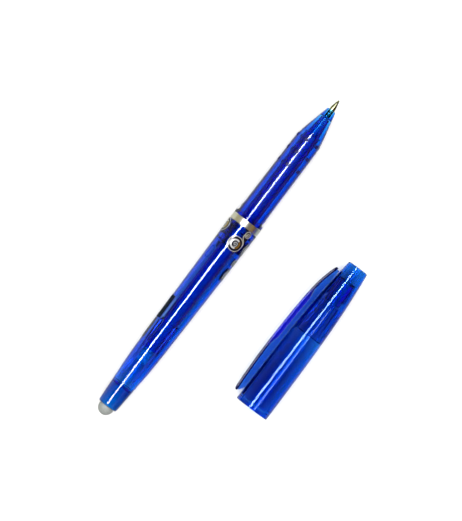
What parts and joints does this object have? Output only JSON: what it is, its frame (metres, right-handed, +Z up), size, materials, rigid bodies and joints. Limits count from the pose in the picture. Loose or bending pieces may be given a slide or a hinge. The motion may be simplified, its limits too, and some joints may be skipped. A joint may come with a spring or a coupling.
{
  "type": "gel pen",
  "caption": "Translucent blue stick pen with a cap lying beside it: tapered barrel with an eraser tail, bright ring, dotted front section, clear-bodied refill, metal point and a clipped cap.",
  "frame": {"origin": "centre of the bottom of the bounding box of the uncapped pen with its cap beside it, on the surface both lie on", "axes": "+X along the pen from the eraser to the writing tip, +Y from the cap towards the pen, +Z up from the surface"},
  "size_m": [0.1332, 0.0515, 0.0125],
  "materials": {
    "clear_blue": "polished translucent blue plastic",
    "deep_blue": "polished dark translucent blue plastic",
    "blue_plastic": "moulded blue plastic",
    "grey_rubber": "matte light grey hard rubber",
    "polished_metal": "polished, with a warm reflection",
    "nickel_metal": "turned metal, slightly warm",
    "carbide_ball": "polished hard metal",
    "clear_plastic": "clear extruded plastic",
    "clear_grease": "clear grease",
    "blue_ink": "dark blue ink",
    "dark_film": "thin dark printed film",
    "silver_foil": "hot-stamped silver foil"
  },
  "bodies": {
    "barrel": {"barrel": "clear_blue", "tail_plug": "clear_blue", "eraser": "grey_rubber", "label_film": "dark_film", "foil_spiral_1": "silver_foil", "foil_spiral_2": "silver_foil", "foil_spiral_3": "silver_foil", "foil_spiral_4": "silver_foil", "foil_spiral_5": "silver_foil", "foil_spiral_6": "silver_foil", "foil_spiral_7": "silver_foil", "foil_spiral_8": "silver_foil"},
    "ring": {"trim_ring": "polished_metal"},
    "section": {"front_section": "clear_blue", "refill_tube": "clear_plastic", "refill_plug": "clear_plastic", "ink_follower": "clear_grease", "ink_column": "blue_ink", "tip_holder": "blue_plastic", "pen_point": "nickel_metal"},
    "ball": {"writing_ball": "carbide_ball"},
    "cap": {"cap_shell": "clear_blue", "inner_cap": "deep_blue"},
    "clip": {"clip": "deep_blue"}
  },
  "joints": [
    {"name": "ring_slide", "type": "slide", "parent": "barrel", "child": "ring", "axis": [1, 0, 0], "range_m": [0, 0.006]},
    {"name": "section_turn", "type": "hinge", "parent": "ring", "child": "section", "pos_m": [0, 0.02007, 0.0056], "axis": [1, 0, 0], "range_deg": [0, 1080]},
    {"name": "ball_roll", "type": "hinge", "parent": "section", "child": "ball", "pos_m": [0.06632, 0.02007, 0.0056], "axis": [0, 1, 0], "continuous": true},
    {"name": "cap_slide", "type": "slide", "parent": "barrel", "child": "cap", "axis": [0.9598, 0.2806, -0.0046], "range_m": [0, 0.14075]},
    {"name": "clip_flex", "type": "hinge", "parent": "cap", "child": "clip", "pos_m": [0.01898, -0.01383, 0.00625], "axis": [0, 0, -1], "range_deg": [0, 4], "stiffness_Nm_per_rad": 2}
  ],
  "couplings": [
    {"joint": "section_turn", "follows": "ring_slide", "rad_per_m": 3141.6}
  ]
}
